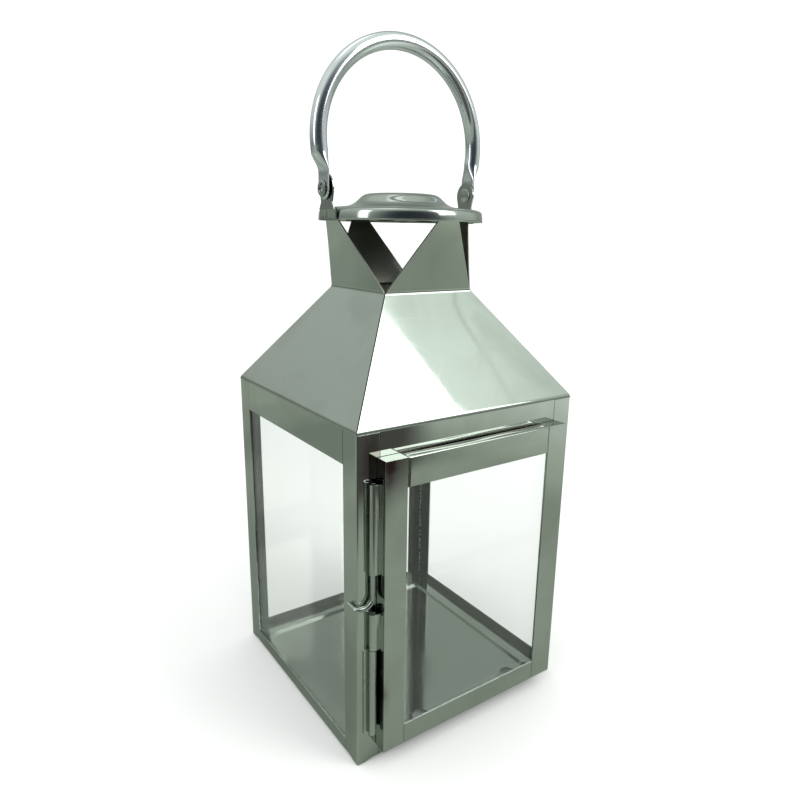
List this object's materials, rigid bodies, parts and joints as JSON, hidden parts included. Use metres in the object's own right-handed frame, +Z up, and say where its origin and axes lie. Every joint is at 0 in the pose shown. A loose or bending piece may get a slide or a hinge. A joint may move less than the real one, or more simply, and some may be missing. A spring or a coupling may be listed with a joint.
{
  "type": "candle lantern",
  "caption": "Square metal candle lantern with glass sides, a side-hinged glazed door, hipped roof, open vented neck, round cap and swinging tube handle.",
  "frame": {"origin": "centre of the square body, on the plane of the four post feet", "axes": "+Z up, the door faces -Y, the door is hinged on the -X side, the handle's pivot line runs along X"},
  "size_m": [0.1528, 0.158, 0.3919],
  "materials": {
    "sheet": "polished stainless sheet, spot welded",
    "tube": "bright polished tube",
    "wire": "bright drawn wire",
    "glass": "clear float glass"
  },
  "bodies": {
    "lantern": {"post_front_left": "sheet", "post_front_right": "sheet", "post_rear_left": "sheet", "post_rear_right": "sheet", "base_floor": "sheet", "rail_front": "sheet", "rail_left": "sheet", "rail_rear": "sheet", "rail_right": "sheet", "glass_left": "glass", "glass_rear": "glass", "glass_right": "glass", "roof_panel_front": "sheet", "roof_panel_left": "sheet", "roof_panel_rear": "sheet", "roof_panel_right": "sheet", "crown_cap": "sheet", "handle_lug_left": "sheet", "handle_lug_right": "sheet", "handle_rivets": "tube", "post_hinge": "sheet", "hinge_pin": "wire", "hinge_wire": "wire"},
    "door": {"door_stile_left": "sheet", "door_stile_right": "sheet", "door_rail_top": "sheet", "door_rail_bottom": "sheet", "door_glass": "glass", "door_hinge_upper": "sheet", "door_hinge_lower": "sheet"},
    "handle": {"handle": "tube"}
  },
  "joints": [
    {"name": "door_swing", "type": "hinge", "parent": "lantern", "child": "door", "pos_m": [-0.067, -0.0775, 0.09], "axis": [0, 0, -1], "range_deg": [0, 105]},
    {"name": "handle_swing", "type": "hinge", "parent": "lantern", "child": "handle", "pos_m": [0, 0, 0.3074], "axis": [1, 0, 0], "range_deg": [-110, 110]}
  ]
}
